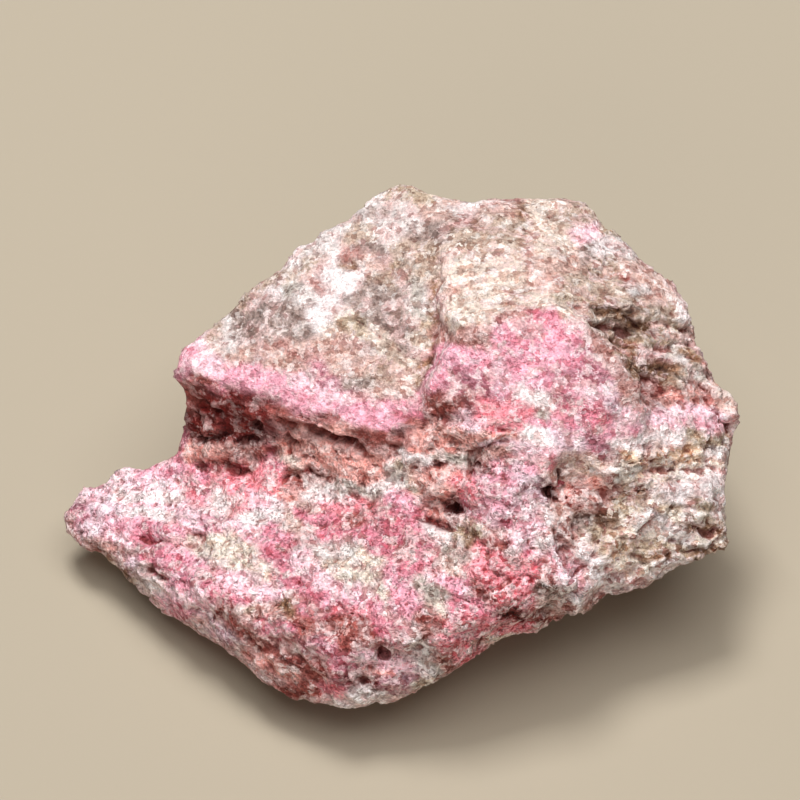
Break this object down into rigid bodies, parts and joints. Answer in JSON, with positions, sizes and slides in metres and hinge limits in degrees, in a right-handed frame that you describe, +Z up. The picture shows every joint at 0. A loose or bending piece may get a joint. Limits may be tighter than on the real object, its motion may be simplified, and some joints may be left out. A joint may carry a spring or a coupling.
{
  "type": "thulite specimen",
  "caption": "Loose hand specimen of pink zoisite rock with a notched upper slab, layered ledges and gas pits, resting on a flat fracture face.",
  "frame": {"origin": "centre of the specimen's box, on the flat fracture face that it rests on", "axes": "+X along the length, from the tapering toe to the spur; +Y towards the back, away from the notched best side; +Z up from the resting face"},
  "size_m": [0.1116, 0.0902, 0.0497],
  "materials": {
    "pink_rock": "rough fracture, granular, matt with small glints"
  },
  "bodies": {
    "root": {"thulite": "pink_rock"}
  },
  "joints": []
}
